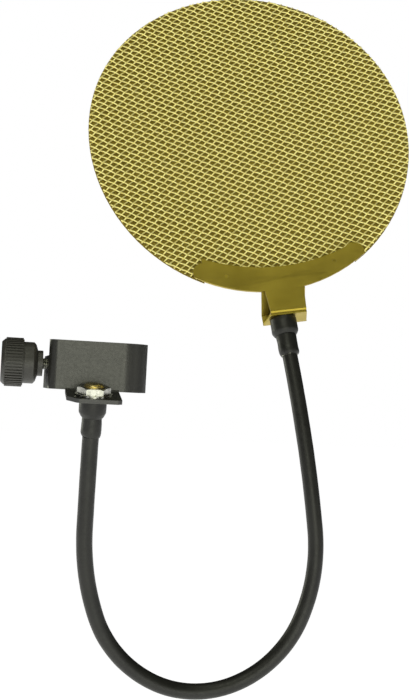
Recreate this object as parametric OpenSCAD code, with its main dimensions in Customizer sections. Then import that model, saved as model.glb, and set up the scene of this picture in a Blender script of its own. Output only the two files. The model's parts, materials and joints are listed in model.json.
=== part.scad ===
// Oval metal pop filter: a gold mesh screen on a gooseneck, with a clamp for a microphone stand.
// Millimetres. The origin is on the axis of the stand tube, at the middle of the clamp's height,
// +Z runs up the tube and the clamp's flat front faces -Y.

/* [Stand clamp] */
// Diameter of the stand tube that the hook holds
tube_d = 21; // [16:0.5:22]
// Thickness of the bent steel strip
strip_t = 2; // [1.6:0.1:3]
// Height of the strip
strip_h = 24; // [20:1:30]
// Outer radius of the small bend beside the thumb screw
corner_r = 4.5; // [4:0.5:6]
// Distance from the tube axis to the centre of that bend
corner_x = 32; // [30:1:38]
// Depth of the wall that carries the thumb screw, at its foot
wall_l = 16.5; // [14:0.5:18]
// How far that wall leans outwards, in degrees
wall_flare = 5; // [0:1:6]
// Length of the hook's straight rear lip
lip_l = 4; // [2:0.5:5]

/* [Gooseneck tab] */
// Width of the tab below the front plate
tab_w = 26; // [24:1:30]
// How far the tab slopes down towards the front, in degrees
tab_slope = 11; // [5:1:15]
// Inner radius of the tab's bend
tab_bend_r = 1; // [0.8:0.1:1.5]
// How far above the strip's lower edge that bend starts
tab_lift = 1; // [0:0.1:2]
// Distance along the tab from its bend to the gooseneck's axis
tab_reach = 10; // [9.8:0.1:12]
// Distance from the gooseneck's axis to the tab's front edge
tab_nose = 9.8; // [9.5:0.1:12]
// Sideways distance from the tube axis to the gooseneck's axis
tab_x = 15; // [13:0.5:17]

/* [Thumb screw] */
// Thread diameter of the thumb screw
screw_d = 6; // [5:1:6]
// Diameter of the ribbed ring of the knob
knob_d = 24; // [20:1:26]
// Length of the ribbed ring
knob_ring_l = 10.8; // [8:0.2:12]
// Diameter of the knob's smooth hub
hub_d = 20.4; // [18:0.2:21]
// Length of the hub
hub_l = 6.9; // [5:0.1:8]
// Diameter of the boss that faces the clamp
boss_d = 12.6; // [11:0.2:14]
// Length of the boss
boss_l = 2.5; // [2:0.1:3]
// Gap between the boss and the clamp's wall corner
boss_gap = 2.6; // [2.4:0.1:4]
// Number of ribs on the knob
rib_n = 48; // [20:1:60]
// Gap between the pad and a full-size tube, with the screw slackened
pad_gap = 0.4; // [0.3:0.1:1]

/* [Gooseneck] */
// Outer diameter of the gooseneck with its heat-shrink cover
neck_d = 8.1; // [7.5:0.1:9]
// Diameter of the flexible steel core
core_d = 5.8; // [5.5:0.1:6]
// Diameter of the cup that holds each ball
cup_d = 6.4; // [6.2:0.1:6.6]
// Length of each of the eight stretches along the centreline
link_l = 46.3; // [44:0.1:48]
// Diameter of the ball between two stretches
ball_d = 5.2; // [4.6:0.1:5.2]
// Thread diameter of the lower end fitting
low_thread_d = 10; // [9:1:10]
// Thread diameter of the screw that holds the screen's bracket
top_thread_d = 5; // [4:1:5]

/* [Screen] */
// Width of the screen
screen_w = 180.5; // [150:0.5:190]
// Height of the screen
screen_h = 190; // [150:0.5:200]
// Radius to which the screen is bent, hollow towards the front
screen_r = 800; // [500:10:1200]
// Thickness of the coarse front mesh
coarse_t = 1.5; // [1.2:0.1:2]
// Thickness of the fine rear mesh
fine_t = 0.5; // [0.4:0.1:0.8]
// Thickness of the bracket's gold sheet
sheet_t = 1; // [0.8:0.1:1.2]
// Width of the bracket's crescent, at its middle
band_w = 14; // [11:0.5:16]
// Half of the crescent's length
band_half = 47.5; // [35:0.5:52]
// Radius of the crescent's hollow edge
band_r = 104; // [92:1:115]
// Width of the stem at the crescent
stem_top_w = 21.5; // [19:0.5:24]
// Width of the front stem at the shelf
stem_low_w = 19.5; // [16:0.5:21]
// Width of the rear leg and the upper shelf
leg_w = 24; // [20:0.5:26]
// Height of the stem from the shelf to the screen
stem_h = 13.5; // [11:0.5:16]
// Depth of the bracket's shelf
shelf_d = 15; // [13:0.5:16]
// Sideways distance from the gooseneck's axis to the middle of the bracket
bracket_x = -2.4; // [-3:0.1:3]
// Sideways distance from the gooseneck's axis to the middle of the screen
screen_x = 0.3; // [-3:0.1:3]
// How far the bracket is turned on the gooseneck, in degrees
head_turn = -9.6; // [-15:0.1:15]

/* [Hidden] */

$fn = 64;
eps = 0.01;
slip = 0.05;          // radial clearance of a running fit

seat_r = tube_d / 2;
hook_r = seat_r + strip_t;
half_h = strip_h / 2;

// Each stretch of the gooseneck is one arc: its bend within the loop and its bend backwards.
neck_bends = [[0.8, 0], [20, 0], [42.3, 0], [53.2, 0], [42.6, 8.6], [27, 8.6], [0.7, 8.6], [-1, 8.6]];
link_n = len(neck_bends);
joint_back = 4;       // a core stops this far before the ball's centre
joint_front = 1.2;    // the next core's cup starts this far before the ball's centre
stalk_d = 3;          // neck of the ball
cup_l = ball_d / 2 + 1.2;

// Heights above and below the tab, along the lower fitting's axis
washer_t = 1;
nut_t = 3.2;
stub_l = strip_t + washer_t + nut_t + 1.2;
low_collar_l = 8.9;
low_cuff_l = 9.4;
low_l = low_collar_l + low_cuff_l;
top_collar_l = 10;
top_cuff_l = 11.3;
top_l = top_collar_l + top_cuff_l;
low_collar_d = 13.2;
top_collar_d = 14.4;
collar_taper = 2.4;
low_cuff_d = 10;
top_cuff_d = 11;
flange_d = 11.6;
flange_back = 2.6;    // a fitting's flange stops this far before its collar's tapered end
shank_d = 8.6;

// ---- placement along the gooseneck ---------------------------------------------------------

function move_m(v) = [[1, 0, 0, v.x], [0, 1, 0, v.y], [0, 0, 1, v.z], [0, 0, 0, 1]];
function turn_x(a) = [[1, 0, 0, 0], [0, cos(a), -sin(a), 0], [0, sin(a), cos(a), 0], [0, 0, 0, 1]];
function turn_y(a) = [[cos(a), 0, sin(a), 0], [0, 1, 0, 0], [-sin(a), 0, cos(a), 0], [0, 0, 0, 1]];
function turn_z(a) = [[cos(a), -sin(a), 0, 0], [sin(a), cos(a), 0, 0], [0, 0, 1, 0], [0, 0, 0, 1]];

// An arc of length l that starts along +Z and bends towards +X
function arc_m(l, a) =
  a == 0 ? move_m([0, 0, l])
         : let (r = l / (a * PI / 180)) move_m([r * (1 - cos(a)), 0, r * sin(a)]) * turn_y(a);

function bend_of(i) = norm(neck_bends[i]);
function roll_of(i) = bend_of(i) == 0 ? 0 : atan2(-neck_bends[i][1], neck_bends[i][0]);
function link_m(i) = turn_z(roll_of(i)) * arc_m(link_l, bend_of(i)) * turn_z(-roll_of(i));

// The lower fitting's frame: its origin is under the tab, +Z runs down the gooseneck
bend_y = -hook_r - tab_bend_r;
seat_y = bend_y + (tab_bend_r + strip_t) * sin(tab_slope) - tab_reach * cos(tab_slope);
seat_z = tab_lift - half_h - (tab_bend_r + strip_t) * cos(tab_slope) - tab_reach * sin(tab_slope);
low_m = move_m([-tab_x, seat_y, seat_z]) * turn_x(180 + tab_slope);

// The frame at the start of stretch i, and after the last one
function neck_m(i) = i == 0 ? low_m * move_m([0, 0, low_l]) : neck_m(i - 1) * link_m(i - 1);

// The screen's frame: its origin is under the shelf, +Z up the stem, +Y to the front
head_m = neck_m(link_n) * move_m([0, 0, top_l]) * turn_z(head_turn);

function spot(m) = [m[0][3], m[1][3], m[2][3]];
function axis_x(m) = [m[0][0], m[1][0], m[2][0]];
function axis_y(m) = [m[0][1], m[1][1], m[2][1]];

union() {
  for (i = [1 : link_n - 1])
    echo(str("joint ", i), spot(neck_m(i)), in_plane = axis_y(neck_m(i)), across = axis_x(neck_m(i)));
  echo("head", head_m);
}

// ---- shapes that repeat --------------------------------------------------------------------

module tube(d, bore, h) {
  difference() {
    cylinder(d = d, h = h);
    translate([0, 0, -1]) cylinder(d = bore, h = h + 2);
  }
}

// A bend of strip: part of a turn round Z
module strip_bend(r_in, r_out, from, turn, h) {
  rotate([0, 0, from]) rotate_extrude(angle = turn) translate([r_in, 0]) square([r_out - r_in, h]);
}

// A round bar or tube along stretch i, from length l0 to length l1
module neck_run(i, d, bore, l0, l1) {
  a = bend_of(i);
  if (a == 0) {
    translate([0, 0, l0])
      if (bore > 0) tube(d, bore, l1 - l0);
      else cylinder(d = d, h = l1 - l0);
  } else {
    r = link_l / (a * PI / 180);
    per = a / link_l;
    rotate([0, 0, roll_of(i)]) translate([r, 0, 0]) rotate([90, 0, 180]) rotate([0, 0, l0 * per])
      rotate_extrude(angle = (l1 - l0) * per) translate([r, 0]) difference() {
        circle(d = d);
        if (bore > 0) circle(d = bore);
      }
  }
}

module star_washer(d, bore, t, teeth) {
  tooth = PI * d / teeth / 2;
  difference() {
    union() {
      cylinder(d = d - 2.4, h = t);
      for (k = [0 : teeth - 1])
        rotate([0, 0, k * 360 / teeth]) translate([0, -tooth / 2, 0]) cube([d / 2, tooth, t]);
    }
    translate([0, 0, -1]) cylinder(d = bore, h = t + 2);
  }
}

// ---- clamp ---------------------------------------------------------------------------------

// Points on an arc round c
function arc_points(c, r, from, to, n) =
  [for (k = [0 : n]) let (a = from + (to - from) * k / n) c + r * [cos(a), sin(a)]];

// The strip from the hook to the end of the thumb screw's wall, seen from above
module strip_outline() {
  c = [-corner_x, corner_r - hook_r];
  wall_to = wall_l * [-sin(wall_flare), cos(wall_flare)];
  out = arc_points(c, corner_r, 270, 180 + wall_flare, 14);
  in = arc_points(c, corner_r - strip_t, 180 + wall_flare, 270, 14);
  polygon(concat([[0, -hook_r]], out, [out[14] + wall_to, in[0] + wall_to], in, [[0, -seat_r]]));
}

// The tab and its bend, seen from the side
module tab_outline() {
  c = [bend_y, tab_lift - half_h];
  tab_to = (tab_reach + tab_nose) * [-cos(tab_slope), -sin(tab_slope)];
  top = arc_points(c, tab_bend_r, 0, tab_slope - 90, 10);
  under = arc_points(c, tab_bend_r + strip_t, tab_slope - 90, 0, 10);
  polygon(concat(top, [top[10] + tab_to, under[0] + tab_to], under));
}

// What the tab's front corners lose, in the tab's own plane
module tab_corners() {
  w = tab_w / 2 + 1;
  n = tab_nose + 1;
  polygon([[-w, n - 7], [-w, n], [-w + 10, n], [-w + 5.5, n - 1.6]]);
  polygon([[w, n - 2.5], [w, n], [w - 5, n], [w - 1.8, n - 1.6]]);
}

module clamp_bracket() {
  wall_y = corner_r - hook_r + wall_l;
  color([0.26, 0.26, 0.23]) difference() {
    union() {
      translate([0, 0, -half_h]) {
        strip_bend(seat_r, hook_r, -90, 180, strip_h);
        translate([-lip_l, seat_r, 0]) cube([lip_l, strip_t, strip_h]);
        linear_extrude(strip_h) strip_outline();
      }
      translate([-tab_x - tab_w / 2, 0, 0]) rotate([90, 0, 90]) linear_extrude(tab_w) tab_outline();
    }
    multmatrix(low_m) translate([0, 0, -strip_t - 2]) {
      linear_extrude(strip_t + 4) tab_corners();
      // The hole for the lower fitting's thread
      cylinder(d = low_thread_d + 2 * slip, h = strip_t + 4);
    }
    // The threaded hole for the thumb screw
    translate([-corner_x - 15, 0, 0]) rotate([0, 90, 0]) cylinder(d = screw_d + 2 * slip, h = 20);
    // The wall's upper edge slopes down to the rear
    translate([-corner_x - 15, 0, 0]) rotate([90, 0, 90]) linear_extrude(15 + corner_r)
      polygon([[wall_y - wall_l, 4.2], [wall_y + 1, 3.6], [wall_y + 1, half_h + 1],
               [wall_y - wall_l, half_h + 1]]);
  }
}

// ---- thumb screw ---------------------------------------------------------------------------

pad_d = 9;
pad_l = 5;
pad_face = -seat_r - pad_gap;
dog_d = 4;
dog_l = 3;
boss_x = -corner_x - corner_r - boss_gap;
screw_in_knob = boss_l + hub_l + 3;

// Everything on the screw is drawn along +Z and laid along +X
module along_screw(x) {
  translate([x, 0, 0]) rotate([0, 90, 0]) children();
}

module pressure_pad() {
  color([0.1, 0.1, 0.1]) along_screw(pad_face - pad_l) difference() {
    union() {
      cylinder(d = pad_d, h = pad_l - 0.8);
      translate([0, 0, pad_l - 0.8]) cylinder(d1 = pad_d, d2 = pad_d - 1.6, h = 0.8);
    }
    translate([0, 0, -1]) cylinder(d = dog_d + 2 * slip, h = dog_l + 1 + slip);
  }
}

module thumb_screw() {
  tip = pad_face - pad_l;
  shaft = tip - 0.3 - (boss_x - screw_in_knob);
  color([0.75, 0.75, 0.78]) along_screw(boss_x - screw_in_knob) {
    cylinder(d = screw_d, h = shaft);
    translate([0, 0, shaft - eps]) cylinder(d = dog_d, h = dog_l + 0.3);
    // The hexagonal head that is moulded into the knob
    cylinder(d = 11.5, h = 3, $fn = 6);
  }
}

module thumb_knob() {
  rib_w = PI * knob_d / rib_n / 2;
  ring_x = knob_ring_l;
  color([0.2, 0.19, 0.16]) along_screw(boss_x - boss_l - hub_l - knob_ring_l) difference() {
    union() {
      rotate_extrude() polygon([
        [0, 0], [knob_d / 2 - 2.2, 0], [knob_d / 2 - 0.7, 1.6], [knob_d / 2 - 0.7, ring_x],
        [hub_d / 2, ring_x], [hub_d / 2, ring_x + hub_l - 2], [hub_d / 2 - 1.2, ring_x + hub_l - 0.9],
        [boss_d / 2, ring_x + hub_l],
        [boss_d / 2, ring_x + hub_l + boss_l], [0, ring_x + hub_l + boss_l]
      ]);
      for (k = [0 : rib_n - 1])
        rotate([0, 0, k * 360 / rib_n]) translate([knob_d / 2 - 2, -rib_w / 2, 2])
          cube([2, rib_w, ring_x - 2.4]);
    }
    // The pocket that the screw and its head fill
    translate([0, 0, ring_x - 3]) {
      cylinder(d = 11.5, h = 3, $fn = 6);
      cylinder(d = screw_d, h = 30);
    }
    // The shallow dish in the knob's outer face
    translate([0, 0, -1]) cylinder(d = 13, h = 1.8);
  }
}

// ---- fittings at the ends of the gooseneck -------------------------------------------------

module lower_end_fitting() {
  color([0.75, 0.65, 0.3]) multmatrix(low_m) {
    translate([0, 0, -stub_l + 0.8]) cylinder(d = low_thread_d, h = stub_l - 0.8 + eps);
    translate([0, 0, -stub_l]) cylinder(d1 = low_thread_d - 1.6, d2 = low_thread_d, h = 0.8);
    cylinder(d = flange_d, h = low_collar_l - flange_back);
    cylinder(d = shank_d, h = low_l);
  }
}

module lower_star_washer() {
  color([0.8, 0.8, 0.8]) multmatrix(low_m) translate([0, 0, -strip_t - washer_t])
    star_washer(18, low_thread_d + 0.4, washer_t, 16);
}

module lower_hex_nut() {
  color([0.85, 0.85, 0.85]) multmatrix(low_m) translate([0, 0, -strip_t - washer_t - nut_t])
    difference() {
      intersection() {
        cylinder(d = 16.2, h = nut_t, $fn = 6);
        cylinder(d1 = 14.4, d2 = 14.4 + 2 * nut_t * 1.7, h = nut_t);
      }
      translate([0, 0, -1]) cylinder(d = low_thread_d, h = nut_t + 2);
    }
}

// Heat-shrink over a fitting's flange, tapered at its far end
module collar_sleeve(h, collar_d, cuff_d) {
  step = h - flange_back + 0.2;
  rotate_extrude() polygon([
    [flange_d / 2 + slip, 0], [collar_d / 2 - 0.3, 0], [collar_d / 2, 0.4],
    [collar_d / 2, h - collar_taper], [cuff_d / 2 + 0.1, h],
    [shank_d / 2 + slip, h], [shank_d / 2 + slip, step], [flange_d / 2 + slip, step]
  ]);
}

// Heat-shrink over a fitting's shank
module cuff_sleeve(h, cuff_d) {
  rotate_extrude() polygon([
    [shank_d / 2 + slip, 0], [cuff_d / 2, 0], [cuff_d / 2, h - 0.8], [cuff_d / 2 - 0.5, h],
    [shank_d / 2 + slip, h]
  ]);
}

module lower_collar_sleeve() {
  color([0.16, 0.16, 0.15]) multmatrix(low_m) translate([0, 0, 0.1])
    collar_sleeve(low_collar_l - 0.15, low_collar_d, low_cuff_d);
}

module lower_cuff_sleeve() {
  color([0.16, 0.16, 0.15]) multmatrix(low_m) translate([0, 0, low_collar_l])
    cuff_sleeve(low_cuff_l - 0.1, low_cuff_d);
}

module upper_end_fitting() {
  color([0.7, 0.7, 0.72]) multmatrix(neck_m(link_n)) difference() {
    union() {
      cylinder(d = shank_d, h = top_l);
      translate([0, 0, top_cuff_l + flange_back]) cylinder(d = flange_d, h = top_collar_l - flange_back);
    }
    translate([0, 0, top_l - 8]) cylinder(d = top_thread_d + 2 * slip, h = 9);
  }
}

module upper_cuff_sleeve() {
  color([0.13, 0.13, 0.12]) multmatrix(neck_m(link_n)) translate([0, 0, top_cuff_l]) mirror([0, 0, 1])
    cuff_sleeve(top_cuff_l - 0.1, top_cuff_d);
}

module upper_collar_sleeve() {
  color([0.13, 0.13, 0.12]) multmatrix(neck_m(link_n)) translate([0, 0, top_l - 0.1]) mirror([0, 0, 1])
    collar_sleeve(top_collar_l - 0.15, top_collar_d, top_cuff_d);
}

// ---- gooseneck -----------------------------------------------------------------------------

module neck_core(i) {
  first = i == 0;
  last = i == link_n - 1;
  color([0.5, 0.5, 0.52]) multmatrix(neck_m(i)) {
    if (first) neck_run(i, core_d, 0, 0, link_l - joint_back);
    else {
      neck_run(i, core_d, 0, cup_l - 0.6, last ? link_l : link_l - joint_back);
      difference() {
        translate([0, 0, -joint_front]) cylinder(d = cup_d, h = joint_front + cup_l);
        sphere(d = ball_d + 2 * slip);
      }
    }
    if (!last) multmatrix(link_m(i)) {
      sphere(d = ball_d);
      translate([0, 0, -joint_back - 0.4]) cylinder(d = stalk_d, h = joint_back + 0.4);
    }
  }
}

module neck_sleeve(i) {
  color([0.15, 0.15, 0.14]) multmatrix(neck_m(i))
    neck_run(i, neck_d, cup_d + 2 * slip, i == 0 ? 0.1 : joint_front,
             i == link_n - 1 ? link_l - 0.1 : link_l - joint_back);
}

// ---- screen and its bracket ----------------------------------------------------------------

screen_z = stem_h + screen_h / 2;

function oval(w, h, n) = [for (k = [0 : n - 1]) [w / 2 * cos(k * 360 / n), h / 2 * sin(k * 360 / n)]];

// Stands a flat shape up in the screen's plane, and cuts it out of a curved sheet whose
// front face is y_front ahead of the screen's middle
module curved_sheet(y_front, t) {
  intersection() {
    translate([0, 60, 0]) rotate([90, 0, 0]) linear_extrude(120) children();
    translate([0, screen_r, -20]) difference() {
      cylinder(r = screen_r - y_front + t, h = screen_h + 60, $fn = 360);
      translate([0, 0, -1]) cylinder(r = screen_r - y_front, h = screen_h + 62, $fn = 360);
    }
  }
}

module screen_outline(inset = 0) {
  translate([screen_x, screen_z]) polygon(oval(screen_w - 2 * inset, screen_h - 2 * inset, 96));
}

// Height of the screen's lower edge at x
function edge_z(x) = screen_z - screen_h / 2 * sqrt(1 - pow(2 * (x - screen_x) / screen_w, 2));

end_r = 5.5;
end_x = band_half - end_r;

// The crescent: a band along the screen's lower edge with round ends
module crescent_outline(inset = 0) {
  intersection() {
    union() {
      difference() {
        translate([bracket_x - end_x, 0]) square([2 * end_x, 40]);
        translate([bracket_x, stem_h + band_w + band_r]) circle(r = band_r, $fn = 180);
      }
      for (x = [bracket_x - end_x, bracket_x + end_x])
        translate([x, edge_z(x) + end_r - 0.4]) circle(r = end_r);
    }
    screen_outline(inset);
  }
}

// Between the crescents the sheets end a little above the front crescent's edge
edge_inset = 1.2;
module mesh_outline() {
  difference() {
    screen_outline();
    difference() {
      translate([bracket_x - end_x, 0]) square([2 * end_x, 40]);
      screen_outline(edge_inset);
    }
  }
}

coarse_y = coarse_t / 2;
fine_y = -coarse_t / 2 - 0.05;
front_y = coarse_y + 0.05 + sheet_t;
rear_y = fine_y - fine_t - 0.05;

module coarse_mesh() {
  color([0.85, 0.78, 0.35]) multmatrix(head_m) translate([0, fitting_y, 0]) difference() {
    curved_sheet(coarse_y, coarse_t) mesh_outline();
    rivet_holes();
  }
}

module fine_mesh() {
  color([0.45, 0.4, 0.15]) multmatrix(head_m) translate([0, fitting_y, 0]) difference() {
    curved_sheet(fine_y, fine_t) mesh_outline();
    rivet_holes();
  }
}

// The middle of the shelf lies over the gooseneck's axis
shelf_front = shelf_d / 2;
fitting_y = shelf_front - front_y;

// The front bracket's shelf lies on the rear bracket's
shelf_z = sheet_t + 0.05;

module front_bracket() {
  fold_r = sheet_t * 1.5;
  color([0.6, 0.53, 0.2]) multmatrix(head_m) translate([0, fitting_y, 0]) difference() {
    union() {
      curved_sheet(front_y, sheet_t) crescent_outline();
      translate([bracket_x, front_y, 0]) rotate([90, 0, 0]) linear_extrude(sheet_t) polygon([
        [-stem_low_w / 2, shelf_z + fold_r - eps], [stem_low_w / 2, shelf_z + fold_r - eps],
        [stem_top_w / 2, stem_h + 2], [-stem_top_w / 2, stem_h + 2]
      ]);
      // The fold, then the shelf
      translate([bracket_x - stem_low_w / 2, front_y - fold_r, shelf_z + fold_r]) rotate([90, 0, 90])
        strip_bend(sheet_t / 2, fold_r, -90, 90, stem_low_w);
      translate([bracket_x - stem_low_w / 2, front_y - shelf_d + sheet_t + 0.3, shelf_z])
        cube([stem_low_w, shelf_d - sheet_t - 0.3 - fold_r + eps, sheet_t]);
    }
    translate([0, front_y - shelf_d / 2, 0]) cylinder(d = top_thread_d + 2 * slip, h = shelf_z + 2);
    rivet_holes();
  }
}

module rear_bracket() {
  leg_low = 6;
  leg_y = front_y - shelf_d;
  color([0.55, 0.48, 0.18]) multmatrix(head_m) translate([0, fitting_y, 0]) difference() {
    union() {
      curved_sheet(rear_y, sheet_t) crescent_outline(edge_inset);
      // The leg: up from the shelf, then forward to the crescent
      translate([bracket_x - leg_w / 2, 0, 0]) rotate([90, 0, 90]) linear_extrude(leg_w) polygon([
        [leg_y, 0], [leg_y, leg_low], [rear_y - sheet_t, stem_h + 1.8],
        [rear_y - sheet_t, stem_h + 3.2], [rear_y, stem_h + 3.2], [rear_y, stem_h + 1.4],
        [leg_y + sheet_t, leg_low - 0.4], [leg_y + sheet_t, 0]
      ]);
      translate([bracket_x, 0, 0]) linear_extrude(sheet_t) polygon([
        [-leg_w / 2, leg_y], [leg_w / 2, leg_y],
        [stem_low_w / 2, front_y - 0.9], [-stem_low_w / 2, front_y - 0.9]
      ]);
    }
    translate([0, front_y - shelf_d / 2, -1]) cylinder(d = top_thread_d + 2 * slip, h = sheet_t + 2);
    rivet_holes();
  }
}

rivet_x = 30;
rivet_d = 2;

module rivet_spots() {
  for (x = [bracket_x - rivet_x, bracket_x + rivet_x])
    translate([x, x * x / (2 * screen_r), edge_z(x) + band_w / 2]) rotate([90, 0, 0]) children();
}

module rivet_holes() {
  rivet_spots() cylinder(d = rivet_d + 2 * slip, h = 10, center = true);
}

// Flush rivets that hold the two crescents together through the screen
module bracket_rivets() {
  color([0.6, 0.53, 0.2]) multmatrix(head_m) translate([0, fitting_y, 0])
    rivet_spots() translate([0, 0, -front_y + 0.1])
      cylinder(d = rivet_d, h = front_y - rear_y + sheet_t - 0.2);
}

module upper_star_washer() {
  color([0.8, 0.8, 0.8]) multmatrix(head_m) translate([0, 0, 2 * sheet_t + 0.05])
    star_washer(9, top_thread_d + 0.4, 0.6, 10);
}

module upper_screw() {
  head_z = 2 * sheet_t + 0.65;
  color([0.8, 0.8, 0.8]) multmatrix(head_m) difference() {
    union() {
      translate([0, 0, head_z]) cylinder(d = 8, h = 2.4);
      translate([0, 0, -7]) cylinder(d = top_thread_d, h = 7 + head_z + eps);
    }
    translate([-5, -0.5, head_z + 1.2]) cube([10, 1, 2]);
  }
}

clamp_bracket();
pressure_pad();
thumb_screw();
thumb_knob();
lower_end_fitting();
lower_star_washer();
lower_hex_nut();
lower_collar_sleeve();
lower_cuff_sleeve();
neck_core(0);  // neck_core_1
neck_core(1);  // neck_core_2
neck_core(2);  // neck_core_3
neck_core(3);  // neck_core_4
neck_core(4);  // neck_core_5
neck_core(5);  // neck_core_6
neck_core(6);  // neck_core_7
neck_core(7);  // neck_core_8
neck_sleeve(0);  // neck_sleeve_1
neck_sleeve(1);  // neck_sleeve_2
neck_sleeve(2);  // neck_sleeve_3
neck_sleeve(3);  // neck_sleeve_4
neck_sleeve(4);  // neck_sleeve_5
neck_sleeve(5);  // neck_sleeve_6
neck_sleeve(6);  // neck_sleeve_7
neck_sleeve(7);  // neck_sleeve_8
upper_cuff_sleeve();
upper_collar_sleeve();
upper_end_fitting();
upper_star_washer();
upper_screw();
front_bracket();
rear_bracket();
bracket_rivets();
coarse_mesh();
fine_mesh();
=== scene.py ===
"""An oval gold pop filter on a black gooseneck, with a clamp for a microphone stand.

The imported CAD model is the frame. Lengths are in metres, in the CAD's own axes: the origin is on
the stand tube's axis, +Z runs up the tube and the clamp's flat front faces -Y.
"""
import json
from math import atan2, cos, degrees, pi, radians, sin, sqrt

import bmesh
import bpy
import numpy as np
from mathutils import Matrix, Vector, noise

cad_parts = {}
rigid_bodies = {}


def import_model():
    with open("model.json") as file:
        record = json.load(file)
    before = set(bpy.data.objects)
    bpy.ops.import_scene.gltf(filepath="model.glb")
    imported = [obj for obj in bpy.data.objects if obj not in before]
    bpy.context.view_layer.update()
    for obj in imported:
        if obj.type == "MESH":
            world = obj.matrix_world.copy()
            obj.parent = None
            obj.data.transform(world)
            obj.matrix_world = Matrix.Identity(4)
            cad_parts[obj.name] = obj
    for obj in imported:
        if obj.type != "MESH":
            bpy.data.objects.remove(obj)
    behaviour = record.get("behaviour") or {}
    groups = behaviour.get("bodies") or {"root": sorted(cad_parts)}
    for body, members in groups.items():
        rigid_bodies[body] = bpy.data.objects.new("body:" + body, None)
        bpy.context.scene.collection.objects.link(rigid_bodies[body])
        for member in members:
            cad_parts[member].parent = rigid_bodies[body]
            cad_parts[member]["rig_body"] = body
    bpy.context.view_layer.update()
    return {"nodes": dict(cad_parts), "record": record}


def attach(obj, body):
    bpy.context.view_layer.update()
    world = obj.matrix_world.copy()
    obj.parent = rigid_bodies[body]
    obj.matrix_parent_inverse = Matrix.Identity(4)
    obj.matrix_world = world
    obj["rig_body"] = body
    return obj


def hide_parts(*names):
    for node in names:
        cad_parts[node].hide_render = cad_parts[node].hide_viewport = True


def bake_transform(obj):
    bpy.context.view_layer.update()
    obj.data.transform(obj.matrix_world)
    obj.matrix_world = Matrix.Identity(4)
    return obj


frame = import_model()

MM = 0.001

# ---- places that the CAD's driving values give ----------------------------------------------

TAB_SLOPE = 11
SEAT = Vector((-15, -22.744, -15.853)) * MM  # under the tab, on the lower fitting's axis
STUB_L = 7.4 * MM  # the lower fitting's thread stands this far above its seat
WASHER_LIFT = 2 * MM  # underside of the star washer above the seat
LOW_COLLAR_L, LOW_CUFF_L = 8.9 * MM, 9.4 * MM
TOP_CUFF_L, TOP_COLLAR_L = 11.3 * MM, 10 * MM
FLANGE_BACK = 2.6 * MM  # the lower fitting's flange ends this far before its collar does
NECK_R = 4.05 * MM
LINK_L = 46.3 * MM  # one of the gooseneck's eight stretches
# Each stretch of the gooseneck is one arc: its bend within the loop and its bend backwards
NECK_BENDS = [
    (0.8, 0), (20, 0), (42.3, 0), (53.2, 0), (42.6, 8.6), (27, 8.6), (0.7, 8.6), (-1, 8.6)
]
HEAD_TURN = -9.6  # degrees the screen is turned on the gooseneck's end
SCREEN_W, SCREEN_H, SCREEN_R = 180.5 * MM, 190 * MM, 800 * MM
SCREEN_X, SCREEN_Z = 0.3 * MM, 13.5 * MM + SCREEN_H / 2
SHEET_Y = 5.7 * MM  # the screen's middle, ahead of the gooseneck's axis
BRACKET_X, BRACKET_HALF = -2.4 * MM, 42 * MM  # middle and half width of the crescents
EDGE_INSET = 1.2 * MM  # the wires stop this far short between the crescents
UPPER_WASHER_Z = 2.05 * MM  # underside of the upper star washer above the head's origin
BOSS_X = -39.1 * MM  # the knob's inner end
SCREW_END_X = -16.2 * MM  # where the thumb screw's thread ends


def move(x, y, z):
    return Matrix.Translation((x, y, z))


def turn(axis, angle):
    """A rotation by an angle in degrees."""
    return Matrix.Rotation(radians(angle), 4, axis)


def arc(length, bend):
    """The far end of an arc that starts along +Z and bends towards +X by an angle in degrees."""
    if bend == 0:
        return move(0, 0, length)
    r = length / radians(bend)
    return move(r * (1 - cos(radians(bend))), 0, r * sin(radians(bend))) @ turn("Y", bend)


def along_link(i, length):
    """A frame part of the way along stretch i, in that stretch's own start frame."""
    inward, backward = NECK_BENDS[i]
    bend = sqrt(inward**2 + backward**2)
    roll = degrees(atan2(-backward, inward))
    return turn("Z", roll) @ arc(length, bend * length / LINK_L) @ turn("Z", -roll)


# The lower fitting's frame, the start of each stretch, and the screen's frame
LOW = Matrix.Translation(SEAT) @ turn("X", 180 + TAB_SLOPE)
NECK = [LOW @ move(0, 0, LOW_COLLAR_L + LOW_CUFF_L)]
for link in range(len(NECK_BENDS)):
    NECK.append(NECK[link] @ along_link(link, LINK_L))
HEAD = NECK[-1] @ move(0, 0, TOP_CUFF_L + TOP_COLLAR_L) @ turn("Z", HEAD_TURN)
HEAD_AXES = HEAD.to_3x3().inverted().to_euler()


def neck_frame(s):
    """The frame at length s along the gooseneck, measured from the lower cuff."""
    i = min(int(s / LINK_L), len(NECK_BENDS) - 1)
    return NECK[i] @ along_link(i, s - i * LINK_L)


# ---- camera ---------------------------------------------------------------------------------


def add_camera():
    """Stands where the photograph's camera stood: level, a little left, and rolled."""
    heading, lift, roll = radians(10), radians(1.44), radians(3.08)
    ahead = Vector((sin(heading) * cos(lift), cos(heading) * cos(lift), sin(lift)))
    right = Vector((cos(heading), -sin(heading), 0))
    up = right.cross(ahead)
    right, up = cos(roll) * right + sin(roll) * up, cos(roll) * up - sin(roll) * right
    data = bpy.data.cameras.new("camera")
    data.sensor_width = 36
    data.lens = 58.1
    camera = bpy.data.objects.new("camera", data)
    bpy.context.scene.collection.objects.link(camera)
    axes = Matrix((right, up, -ahead)).transposed().to_4x4()
    camera.matrix_world = move(-0.0577, -0.5624, -0.0031) @ axes
    bpy.context.scene.camera = camera


add_camera()

# ---- materials ------------------------------------------------------------------------------


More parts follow.
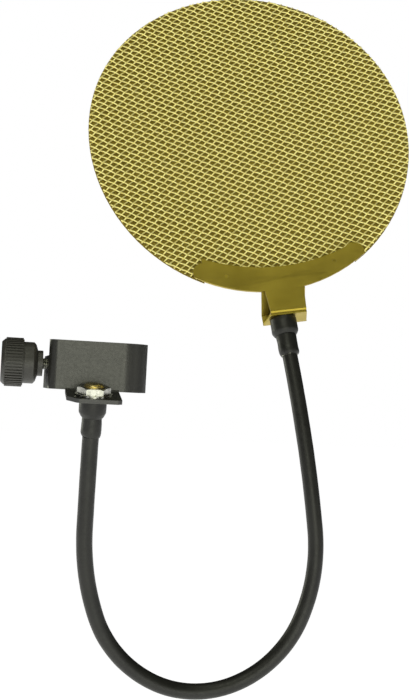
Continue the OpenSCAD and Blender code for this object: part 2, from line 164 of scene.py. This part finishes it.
class Finish:
    """A procedural material: a Principled shader whose colour, gloss and relief come from nodes."""

    def __init__(self, name, **sockets):
        self.material = bpy.data.materials.new(name)
        self.material.use_nodes = True
        self.tree = self.material.node_tree
        self.shader = self.tree.nodes["Principled BSDF"]
        for socket, value in sockets.items():
            self.shader.inputs[socket.replace("_", " ")].default_value = value
        self.place = self.node("ShaderNodeTexCoord").outputs["Object"]
        self.normal = None

    def node(self, kind, links=(), **settings):
        """Adds a node with its sockets or properties set, and its inputs linked to outputs."""
        node = self.tree.nodes.new(kind)
        for key, value in settings.items():
            if key in node.inputs:
                node.inputs[key].default_value = value
            else:
                setattr(node, key, value)
        for socket, output in dict(links).items():
            self.tree.links.new(output, node.inputs[socket])
        return node

    def axes(self, rotation=(0, 0, 0), scale=(1, 1, 1)):
        """Positions in turned axes, then stretched along them."""
        turned = self.node("ShaderNodeMapping", {"Vector": self.place}, Rotation=rotation)
        return self.node("ShaderNodeMapping", {"Vector": turned.outputs[0]}, Scale=scale).outputs[0]

    def noise(self, per_metre, place=None, detail=2.0):
        """Noise with so many lumps a metre."""
        return self.node(
            "ShaderNodeTexNoise", {"Vector": place or self.place}, Scale=per_metre, Detail=detail
        ).outputs["Fac"]

    def colour(self, fac, stops):
        """Colours that fac picks from stops of (position, colour)."""
        ramp = self.node("ShaderNodeValToRGB", {"Fac": fac})
        for k, (at, rgb) in enumerate(stops):
            stop = ramp.color_ramp.elements[k] if k < 2 else ramp.color_ramp.elements.new(at)
            stop.position, stop.color = at, (*rgb, 1)
        self.tree.links.new(ramp.outputs["Color"], self.shader.inputs["Base Color"])

    def roughness(self, fac, low, high):
        """Roughness between low and high. Noise mostly stays between 0.3 and 0.7."""
        spread = self.node("ShaderNodeMapRange", {"Value": fac})
        spread.inputs["From Min"].default_value = 0.3
        spread.inputs["From Max"].default_value = 0.7
        spread.inputs["To Min"].default_value = low
        spread.inputs["To Max"].default_value = high
        self.tree.links.new(spread.outputs[0], self.shader.inputs["Roughness"])

    def relief(self, height, depth, strength=1.0):
        """A bump, on top of the relief that is already there."""
        links = {"Height": height}
        if self.normal:
            links["Normal"] = self.normal
        bump = self.node("ShaderNodeBump", links, Distance=depth, Strength=strength)
        self.normal = bump.outputs["Normal"]
        self.tree.links.new(self.normal, self.shader.inputs["Normal"])


def clamp_paint():
    f = Finish("clamp_paint", Coat_Weight=0.35, Coat_Roughness=0.22)
    f.colour(f.noise(45), [(0.3, (0.011, 0.011, 0.009)), (0.7, (0.019, 0.019, 0.015))])
    f.roughness(f.noise(700, detail=4), 0.32, 0.46)
    f.relief(f.noise(900, detail=3), 0.00006)
    return f.material


def knob_plastic():
    f = Finish("knob_plastic")
    f.colour(f.noise(120), [(0.3, (0.024, 0.023, 0.019)), (0.7, (0.036, 0.034, 0.029))])
    f.roughness(f.noise(2500, detail=3), 0.36, 0.5)
    f.relief(f.noise(3200, detail=4), 0.00005)
    return f.material


def pad_nylon():
    f = Finish("pad_nylon")
    f.colour(f.noise(200), [(0.3, (0.03, 0.03, 0.03)), (0.7, (0.05, 0.05, 0.048))])
    f.roughness(f.noise(1500), 0.4, 0.55)
    f.relief(f.noise(1800), 0.00004)
    return f.material


def heat_shrink():
    f = Finish("heat_shrink", Specular_IOR_Level=0.38)
    f.colour(f.noise(60), [(0.3, (0.008, 0.008, 0.0065)), (0.7, (0.015, 0.015, 0.0125))])
    f.roughness(f.noise(400, detail=4), 0.36, 0.5)
    f.relief(f.noise(260, detail=3), 0.00012, 0.7)
    f.relief(f.noise(2600, detail=3), 0.00003)
    return f.material


def zinc_steel():
    f = Finish("zinc_steel", Metallic=1.0)
    f.colour(f.noise(400), [(0.3, (0.30, 0.30, 0.27)), (0.7, (0.52, 0.52, 0.47))])
    f.roughness(f.noise(1400, detail=3), 0.16, 0.32)
    f.relief(f.noise(1800, detail=2), 0.00003)
    return f.material


def turned_brass():
    f = Finish("turned_brass", Metallic=1.0)
    f.colour(f.noise(300), [(0.3, (0.62, 0.50, 0.20)), (0.7, (0.80, 0.66, 0.28))])
    f.roughness(f.noise(1600), 0.2, 0.34)
    f.relief(f.noise(2200), 0.00002)
    return f.material


def gooseneck_steel():
    f = Finish("gooseneck_steel", Metallic=1.0)
    f.colour(f.noise(300), [(0.3, (0.14, 0.14, 0.14)), (0.7, (0.24, 0.24, 0.24))])
    f.roughness(f.noise(1600), 0.3, 0.45)
    return f.material


def gold_sheet():
    """Satin plating, brushed along the crescent."""
    f = Finish("gold_sheet", Metallic=1.0, Anisotropic=0.3)
    brushed = f.noise(1, f.axes(HEAD_AXES, (60, 4000, 4000)), detail=3)
    f.colour(f.noise(70), [(0.3, (0.35, 0.268, 0.037)), (0.7, (0.43, 0.332, 0.05))])
    f.roughness(brushed, 0.3, 0.44)
    f.relief(brushed, 0.00003, 0.6)
    return f.material


def gold_mesh():
    f = Finish("gold_mesh", Metallic=0.7)
    f.colour(f.noise(900), [(0.3, (0.86, 0.74, 0.22)), (0.7, (1.0, 0.93, 0.40))])
    f.roughness(f.noise(2400), 0.34, 0.48)
    f.relief(f.noise(3000), 0.00003)
    return f.material


def gold_liner():
    """Fine woven wire: two sets of ridges, coloured with painted shade in the pinholes between them
    and a painted highlight on the ridges' crests.
    """
    pitch = 0.00062  # from wire to wire
    f = Finish("gold_liner", Metallic=0.9)
    place = f.axes(HEAD_AXES)
    split = f.node("ShaderNodeSeparateXYZ", {"Vector": place})
    ridges = []
    for axis in "XZ":
        phase = f.node("ShaderNodeMath", {0: split.outputs[axis]}, operation="MULTIPLY")
        phase.inputs[1].default_value = 2 * pi / pitch
        wave = f.node("ShaderNodeMath", {0: phase.outputs[0]}, operation="COSINE")
        ridges.append(wave.outputs[0])
    weave = f.node("ShaderNodeMath", {0: ridges[0], 1: ridges[1]}, operation="MAXIMUM").outputs[0]
    wide = f.node("ShaderNodeMapRange", {"Value": weave})
    wide.inputs["From Min"].default_value = -1.0
    # Painted shade and highlight: near black between the wires, darker down each wire's flanks and
    # brightest on its crest.
    f.colour(
        wide.outputs[0],
        [(0.15, (0.02, 0.012, 0.004)), (0.75, (0.31, 0.23, 0.035)), (1.0, (0.46, 0.36, 0.07))],
    )
    f.roughness(f.noise(1500), 0.34, 0.5)
    f.relief(wide.outputs[0], 0.0001)
    return f.material


MATERIALS = {
    make.__name__: make()
    for make in (
        clamp_paint,
        knob_plastic,
        pad_nylon,
        heat_shrink,
        zinc_steel,
        turned_brass,
        gooseneck_steel,
        gold_sheet,
        gold_mesh,
        gold_liner,
    )
}

# Every CAD node wears its slot's finish
for part in frame["record"]["subparts"]:
    node_mesh = frame["nodes"][part["node"]].data
    node_mesh.materials.clear()
    node_mesh.materials.append(MATERIALS[part["material_slot"]])

# ---- mesh helpers ---------------------------------------------------------------------------


def add_piece(name, mesh, slot, body=None, replaces=()):
    """Puts a mesh in the scene with its slot's finish. A body of None leaves it unattached."""
    piece = bpy.data.objects.new(name, mesh)
    bpy.context.scene.collection.objects.link(piece)
    mesh.materials.clear()
    mesh.materials.append(MATERIALS[slot])
    if replaces:
        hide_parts(*replaces)
    if body:
        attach(piece, body)
    return piece


def build_mesh(name, points, faces, sharp=35):
    """A smooth mesh whose edges stay hard where they turn by more than sharp degrees."""
    mesh = bpy.data.meshes.new(name)
    mesh.from_pydata([tuple(p) for p in points], [], faces)
    bm = bmesh.new()
    bm.from_mesh(mesh)
    bmesh.ops.remove_doubles(bm, verts=bm.verts, dist=1e-7)
    bmesh.ops.recalc_face_normals(bm, faces=bm.faces)
    bm.to_mesh(mesh)
    bm.free()
    mesh.shade_smooth()
    mesh.set_sharp_from_angle(angle=radians(sharp))
    return mesh


def tube_faces(rings, sides):
    """The faces between rings of points that follow one another."""
    faces = []
    for r in range(rings - 1):
        for k in range(sides):
            here, beside = r * sides + k, r * sides + (k + 1) % sides
            faces.append((here, beside, beside + sides, here + sides))
    return faces


def lathe(name, place, profile, wobble=0.0, slant=0.0, sides=64):
    """Turns a profile of (radius, height) pairs in millimetres round +Z.

    wobble makes it as uneven as shrunk tube, and slant tips its far end.
    """
    points = []
    low, high = profile[0][1], profile[-1][1]
    for r, z in profile:
        for k in range(sides):
            a = 2 * pi * k / sides
            here = Vector((cos(a), sin(a), 0))
            swell = wobble * noise.noise(here * 1.3 + Vector((0, 0, z * 0.35))) if r > 0 else 0
            tip = slant * cos(a) * (z - low) / (high - low)
            points.append(place @ ((here * (r + swell) + Vector((0, 0, z + tip))) * MM))
    return build_mesh(name, points, tube_faces(len(profile), sides))


ROUNDED_ANGLE = radians(30)  # edges sharper than this are rounded


def rounded(node, width, segments=2):
    """A copy of a CAD node with its sharp edges rounded, in the node's place."""
    source = frame["nodes"][node]
    mesh = source.data.copy()
    bm = bmesh.new()
    bm.from_mesh(mesh)
    bmesh.ops.remove_doubles(bm, verts=bm.verts, dist=1e-6)
    bmesh.ops.dissolve_limit(bm, angle_limit=radians(0.05), verts=bm.verts, edges=bm.edges)
    bm.to_mesh(mesh)
    bm.free()
    mesh.shade_smooth()
    mesh.set_sharp_from_angle(angle=ROUNDED_ANGLE)
    slot = next(p["material_slot"] for p in frame["record"]["subparts"] if p["node"] == node)
    piece = add_piece(node + "_rounded", mesh, slot, source["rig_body"], [node])
    bevel = piece.modifiers.new("edges", "BEVEL")
    bevel.width = width
    bevel.segments = segments
    bevel.limit_method = "ANGLE"
    bevel.angle_limit = ROUNDED_ANGLE
    piece.modifiers.new("shading", "WEIGHTED_NORMAL").keep_sharp = True


# ---- woven screen ---------------------------------------------------------------------------

CELL_W, CELL_H = 5.45 * MM, 3.87 * MM  # full diagonals of one opening in the coarse weave
WEAVE_TURN = 5.1  # degrees the weave is turned against the bracket
WIRE_HALF_W, WIRE_HALF_T = 0.42 * MM, 0.36 * MM
WEAVE_SLOPE = atan2(CELL_H, CELL_W)
WAVE = 0.3 * MM  # how far each wire weaves to either side
OVAL_INSET = 0.4 * MM  # from the screen's outline to where the middle of a wire ends
STEPS = 6  # rings between two crossings
WIRE_SIDES = 6


def line_in_oval(foot, along, a, b):
    """Where a line enters and leaves an oval of half axes a and b, as lengths from its foot."""
    qa = (along[0] / a) ** 2 + (along[1] / b) ** 2
    qb = foot[0] * along[0] / a**2 + foot[1] * along[1] / b**2
    qc = (foot[0] / a) ** 2 + (foot[1] / b) ** 2 - 1
    if qb**2 <= qa * qc:
        return None
    half = sqrt(qb**2 - qa * qc)
    return [(-qb - half) / qa, (-qb + half) / qa]


def strands(name, sign):
    """Every wire of one direction. Each passes over and under the wires of the other one."""
    slope = sign * WEAVE_SLOPE - radians(WEAVE_TURN)
    side = sqrt(CELL_W**2 + CELL_H**2) / 2
    gap = side * sin(2 * WEAVE_SLOPE)
    along = np.array([cos(slope), sin(slope)])
    across = np.array([-sin(slope), cos(slope)])
    a, b = SCREEN_W / 2 - OVAL_INSET, SCREEN_H / 2 - OVAL_INSET
    reach = int(max(a, b) / gap)
    points, faces = [], []
    for n in range(-reach, reach + 1):
        foot = -sign * n * gap * across
        ends = line_in_oval(foot, along, a, b)
        if ends is None or ends[1] - ends[0] < 2 * side:
            continue
        inner = line_in_oval(foot, along, a - EDGE_INSET, b - EDGE_INSET) or ends
        for k in (0, 1):
            x, z = foot + along * ends[k]
            if z < 0 and abs(x + SCREEN_X - BRACKET_X) < BRACKET_HALF:
                ends[k] = inner[k]
        t = np.linspace(*ends, int((ends[1] - ends[0]) / side * STEPS) + 2)
        wave = np.cos(pi * (t / side - n * cos(2 * WEAVE_SLOPE) + n))
        x = foot[0] + along[0] * t + SCREEN_X
        z = foot[1] + along[1] * t + SCREEN_Z
        y = SHEET_Y + x**2 / (2 * SCREEN_R) + sign * WAVE * wave
        middle = np.stack([x, y, z], 1)
        heading = np.gradient(middle, axis=0)
        heading /= np.linalg.norm(heading, axis=1)[:, None]
        sideways = np.array([across[0], 0, across[1]])
        out = np.cross(sideways, heading)
        first = len(points)
        for here, up in zip(middle, out):
            for k in range(WIRE_SIDES):
                turned = 2 * pi * k / WIRE_SIDES
                offset = WIRE_HALF_W * cos(turned) * sideways
                points.append(here + offset + WIRE_HALF_T * sin(turned) * up)
        faces += [tuple(first + v for v in face) for face in tube_faces(len(t), WIRE_SIDES)]
        faces.append(tuple(range(first, first + WIRE_SIDES)))
        faces.append(tuple(range(len(points) - WIRE_SIDES, len(points))))
    head = np.array(HEAD)
    points = np.array(points) @ head[:3, :3].T + head[:3, 3]
    return build_mesh(name, points, faces, 60)


for name, sign in (("wires_rising", 1), ("wires_falling", -1)):
    add_piece(name, strands(name, sign), "gold_mesh", "screen", ["coarse_mesh"])

# ---- gooseneck cover ------------------------------------------------------------------------

RING_STEP = LINK_L / 36
NECK_SIDES = 32
COVER_R, COVER_SWELL = NECK_R - 0.03 * MM, 0.05 * MM  # its middle radius, and its unevenness


def neck_cover(s0, s1):
    """Heat-shrink tube over the gooseneck between two lengths, slightly uneven."""
    rings = round((s1 - s0) / RING_STEP)
    points = []
    for r in range(rings + 1):
        s = s0 + (s1 - s0) * r / rings
        place = neck_frame(s)
        for k in range(NECK_SIDES):
            a = 2 * pi * k / NECK_SIDES
            here = Vector((cos(a), sin(a), 0))
            swell = COVER_SWELL * noise.noise(here * 0.8 + Vector((0, 0, s / MM * 0.12)))
            points.append(place @ (here * (COVER_R + swell)))
    return build_mesh("neck_cover", points, tube_faces(rings + 1, NECK_SIDES))


# Cover k crosses joint k. The first and the last one run on to the gooseneck's ends.
for k in range(1, 8):
    s0 = 0 if k == 1 else (k - 0.5) * LINK_L
    s1 = 8 * LINK_L if k == 7 else (k + 0.5) * LINK_L
    hidden = [f"neck_sleeve_{k}"] + (["neck_sleeve_8"] if k == 7 else [])
    cover = add_piece(f"neck_cover_{k}", neck_cover(s0, s1), "heat_shrink", replaces=hidden)
    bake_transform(cover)

# ---- shrunk sleeves over the end fittings ---------------------------------------------------

# Radius and height in millimetres, from the lower fitting's seat or from the gooseneck's end
LOWER_COLLAR = [
    (5.85, 0.1), (6.3, 0.1), (6.55, 0.4), (6.6, 3), (6.55, 6.1), (6.35, 6.6), (5.6, 8.2),
    (5.1, 8.8), (4.4, 8.85),
]
LOWER_CUFF = [
    (4.4, 8.3), (4.75, 8.5), (4.8, 9.4), (4.85, 12), (4.98, 14.4), (5.0, 16.2), (4.85, 17.2),
    (4.5, 18.1), (4.0, 18.35), (3.8, 16.8),
]
UPPER_CUFF = [
    (3.9, 1.4), (4.02, 0.1), (4.6, 0.3), (5.2, 1.2), (5.45, 2.4), (5.4, 4), (5.3, 8),
    (5.45, 11), (5.1, 11.5),
]
UPPER_COLLAR = [
    (5.0, 11.4), (5.6, 11.4), (6.2, 12), (7.0, 13.4), (7.15, 14), (7.1, 17), (7.0, 20.7),
    (6.7, 21.1), (5.85, 21.2),
]
for name, place, profile, wobble, slant, body in (
    ("lower_collar", LOW, LOWER_COLLAR, 0.14, 0.1, "clamp"),
    ("lower_cuff", LOW, LOWER_CUFF, 0.16, 0.3, "clamp"),
    ("upper_cuff", NECK[-1], UPPER_CUFF, 0.25, 0.3, "screen"),
    ("upper_collar", NECK[-1], UPPER_COLLAR, 0.2, 0.2, "screen"),
):
    sleeve = lathe(name + "_cover", place, profile, wobble, slant)
    add_piece(name + "_cover", sleeve, "heat_shrink", body, [name + "_sleeve"])

# ---- screws, brass fitting and washers ------------------------------------------------------


def thread(name, place, diameter, pitch, length, sides=48, per_turn=12):
    """A screw thread along +Z, with its crests on the diameter and a chamfered far end."""
    rings = round(length / pitch * per_turn)
    points = []
    for r in range(rings + 1):
        z = length * r / rings
        for k in range(sides):
            # The crest and the root are flat, with straight flanks between them
            rise = abs(((z / pitch - k / sides) % 1) * 2 - 1)
            depth = 0.6 * pitch * min(max(1.25 * rise - 0.125, 0), 1)
            taper = max(0, z - length + 0.9 * pitch)
            radius = diameter / 2 - max(depth, taper)
            a = 2 * pi * k / sides
            points.append(place @ Vector((radius * cos(a), radius * sin(a), z)))
    faces = tube_faces(rings + 1, sides)
    faces.append(tuple(range(rings * sides, (rings + 1) * sides)))
    return build_mesh(name, points, faces, 50)


TWIST = 24  # degrees, of each tooth of a star washer


def star_washer(name, place, outer, bore, thick, teeth):
    """A flat ring with twisted teeth round its edge, standing on place."""
    sides = 48
    inner_r, ring_r = bore / 2, outer / 2 - 1.3 * MM
    profile = [(inner_r, 0), (ring_r, 0), (ring_r, thick), (inner_r, thick)]
    points = [
        place @ Vector((r * cos(2 * pi * k / sides), r * sin(2 * pi * k / sides), z))
        for r, z in profile + profile[:1]
        for k in range(sides)
    ]
    faces = tube_faces(5, sides)
    half_w, half_t = pi * outer / teeth / 4, 0.35 * thick
    for tooth in range(teeth):
        spot = place @ turn("Z", 360 * tooth / teeth) @ move(0, 0, thick / 2) @ turn("X", TWIST)
        first = len(points)
        for x, narrowing in ((outer / 2 - 1.6 * MM, 1), (outer / 2, 0.85)):
            for y, z in ((-1, -1), (1, -1), (1, 1), (-1, 1)):
                points.append(spot @ Vector((x, y * half_w * narrowing, z * half_t)))
        faces += [tuple(first + v for v in face) for face in tube_faces(2, 4)]
        faces += [tuple(range(first, first + 4)), tuple(range(first + 4, first + 8))]
    return build_mesh(name, points, faces)


OUTWARD = turn("X", 180)  # from the lower fitting's seat towards its thread's end
stub = thread("lower_fitting_thread", LOW @ OUTWARD, 10 * MM, 1 * MM, STUB_L)
add_piece("lower_fitting_thread", stub, "turned_brass", "clamp", ["lower_end_fitting"])
flange_l = LOW_COLLAR_L - FLANGE_BACK
body_profile = [
    (0, 0.02), (5.8, 0.02), (5.8, flange_l / MM), (4.3, flange_l / MM), (4.2, 16.5), (3.6, 16.6)
]
body = lathe("lower_fitting_body", LOW, body_profile)
add_piece("lower_fitting_body", body, "turned_brass", "clamp", ["lower_end_fitting"])
spot = LOW @ OUTWARD @ move(0, 0, WASHER_LIFT)
washer = star_washer("lower_washer", spot, 18 * MM, 10.4 * MM, 1 * MM, 16)
add_piece("lower_washer", washer, "zinc_steel", "clamp", ["lower_star_washer"])
spot = HEAD @ move(0, 0, UPPER_WASHER_Z)
washer = star_washer("upper_washer", spot, 9 * MM, 5.4 * MM, 0.6 * MM, 10)
add_piece("upper_washer", washer, "zinc_steel", "screen", ["upper_star_washer"])

SCREW_AXIS = turn("Y", 90)
screw_start = BOSS_X - 2 * MM
spot = move(screw_start, 0, 0) @ SCREW_AXIS
shaft = thread("thumb_screw_thread", spot, 6 * MM, 1 * MM, SCREW_END_X - screw_start)
add_piece("thumb_screw_thread", shaft, "zinc_steel", "knob", ["thumb_screw"])
dog_profile = [(0, -0.4), (2, -0.4), (2, 2.9), (1.7, 3.25), (0, 3.25)]
spot = move(SCREW_END_X, 0, 0) @ SCREW_AXIS
dog = lathe("thumb_screw_dog", spot, dog_profile, sides=32)
add_piece("thumb_screw_dog", dog, "zinc_steel", "knob", ["thumb_screw"])

# ---- metal and plastic with rounded edges ---------------------------------------------------

rounded("clamp_bracket", 0.35 * MM, 3)
rounded("thumb_knob", 0.22 * MM)
rounded("pressure_pad", 0.2 * MM)
rounded("lower_hex_nut", 0.25 * MM)
rounded("front_bracket", 0.4 * MM, 3)
rounded("rear_bracket", 0.35 * MM)
rounded("upper_screw", 0.2 * MM)

# ---- floor and light ------------------------------------------------------------------------


FLOOR_Z = -0.7
LIGHT_COLOUR = (0.98, 1.0, 0.8)
AIM = (0.02, -0.02, 0.05)  # near the object's middle
ROOM_LIGHT, ROOM_SEEN = 0.06, 1.0  # the world's strength on the object, and to the camera


def add_floor():
    bm = bmesh.new()
    bmesh.ops.create_grid(bm, x_segments=1, y_segments=1, size=12)
    mesh = bpy.data.meshes.new("floor")
    bm.to_mesh(mesh)
    bm.free()
    floor = bpy.data.objects.new("floor", mesh)
    floor.location.z = FLOOR_Z
    bpy.context.scene.collection.objects.link(floor)
    f = Finish("floor_paint", Roughness=0.9, Specular_IOR_Level=0.1, Emission_Strength=0.95)
    f.shader.inputs["Emission Color"].default_value = (1, 1, 1, 1)
    f.colour(f.noise(4), [(0.3, (0.93, 0.93, 0.93)), (0.7, (0.95, 0.95, 0.95))])
    mesh.materials.append(f.material)


def add_light(name, size, power, at):
    """A rectangular lamp of a size in metres and a power in watts, pointed at the object."""
    data = bpy.data.lights.new(name, "AREA")
    data.shape = "RECTANGLE"
    data.size, data.size_y = size
    data.energy = power
    data.color = LIGHT_COLOUR
    light = bpy.data.objects.new(name, data)
    light.location = at
    light.rotation_euler = (Vector(AIM) - Vector(at)).to_track_quat("-Z", "Y").to_euler()
    bpy.context.scene.collection.objects.link(light)


def add_world():
    """White to look at, and a dim room to light the object, so that the metal has contrast."""
    world = bpy.data.worlds.new("studio")
    world.use_nodes = True
    nodes, links = world.node_tree.nodes, world.node_tree.links
    path = nodes.new("ShaderNodeLightPath")
    strength = nodes.new("ShaderNodeMapRange")
    strength.inputs["To Min"].default_value = ROOM_LIGHT
    strength.inputs["To Max"].default_value = ROOM_SEEN
    links.new(path.outputs["Is Camera Ray"], strength.inputs["Value"])
    links.new(strength.outputs[0], nodes["Background"].inputs["Strength"])
    nodes["Background"].inputs["Color"].default_value = (1, 1, 1, 1)
    bpy.context.scene.world = world


add_floor()
add_world()
add_light("front", (1.1, 0.7), 7, (-0.1, -1.9, 0.1))
add_light("key", (0.9, 0.7), 6.5, (-0.5, -1.0, 1.2))
add_light("left", (0.5, 0.5), 5, (-1.3, 1.2, 0.1))
add_light("right", (0.4, 0.8), 0.4, (1.3, -0.7, 0.2))
add_light("low", (1.2, 0.5), 2.5, (0.1, -1.6, -0.45))
add_light("top", (0.8, 0.8), 2.5, (0, -0.1, 1.7))
bpy.context.scene.view_settings.view_transform = "Standard"
